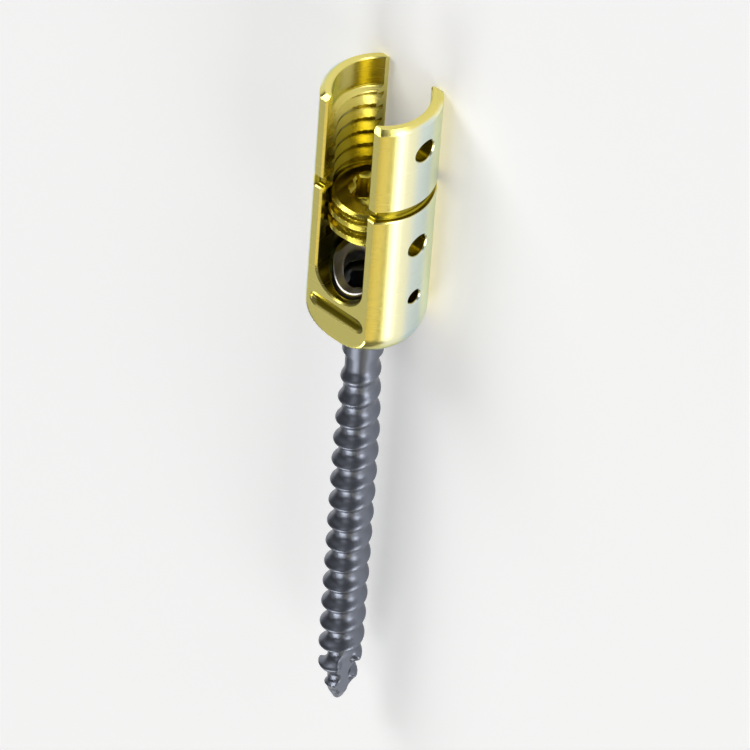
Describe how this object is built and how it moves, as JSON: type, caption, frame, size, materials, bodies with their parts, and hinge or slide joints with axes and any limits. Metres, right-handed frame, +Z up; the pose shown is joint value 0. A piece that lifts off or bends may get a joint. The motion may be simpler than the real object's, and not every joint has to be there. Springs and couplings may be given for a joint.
{
  "type": "polyaxial pedicle screw",
  "caption": "Polyaxial pedicle screw with long break-off tabs, a threaded shank on a ball head, a pressure saddle and a set screw over the rod channel.",
  "frame": {"origin": "on the floor under the lying screw, at the middle of its whole length and width", "axes": "+Y along the screw's axis from the tip to the tabs' tops; +X from one tab to the other; +Z up, the way the rod would run through the channel"},
  "size_m": [0.0122, 0.0856, 0.0093],
  "materials": {
    "receiver_gold": "polished, gold-anodised titanium",
    "saddle_titanium": "plain turned titanium",
    "set_screw_gold": "polished, gold-anodised titanium",
    "shank_slate": "satin, slate-grey anodised titanium"
  },
  "bodies": {
    "receiver": {"receiver": "receiver_gold", "pressure_saddle": "saddle_titanium"},
    "set_screw": {"set_screw": "set_screw_gold"},
    "bone_screw": {"bone_screw": "shank_slate"}
  },
  "joints": [
    {"name": "shank_tilt", "type": "hinge", "parent": "receiver", "child": "bone_screw", "pos_m": [0, 0.015, 0.00465], "axis": [0, 0, 1], "range_deg": [-25, 25]},
    {"name": "set_screw_travel", "type": "slide", "parent": "receiver", "child": "set_screw", "axis": [0, 1, 0], "range_m": [-0.00175, 0.01225]}
  ]
}
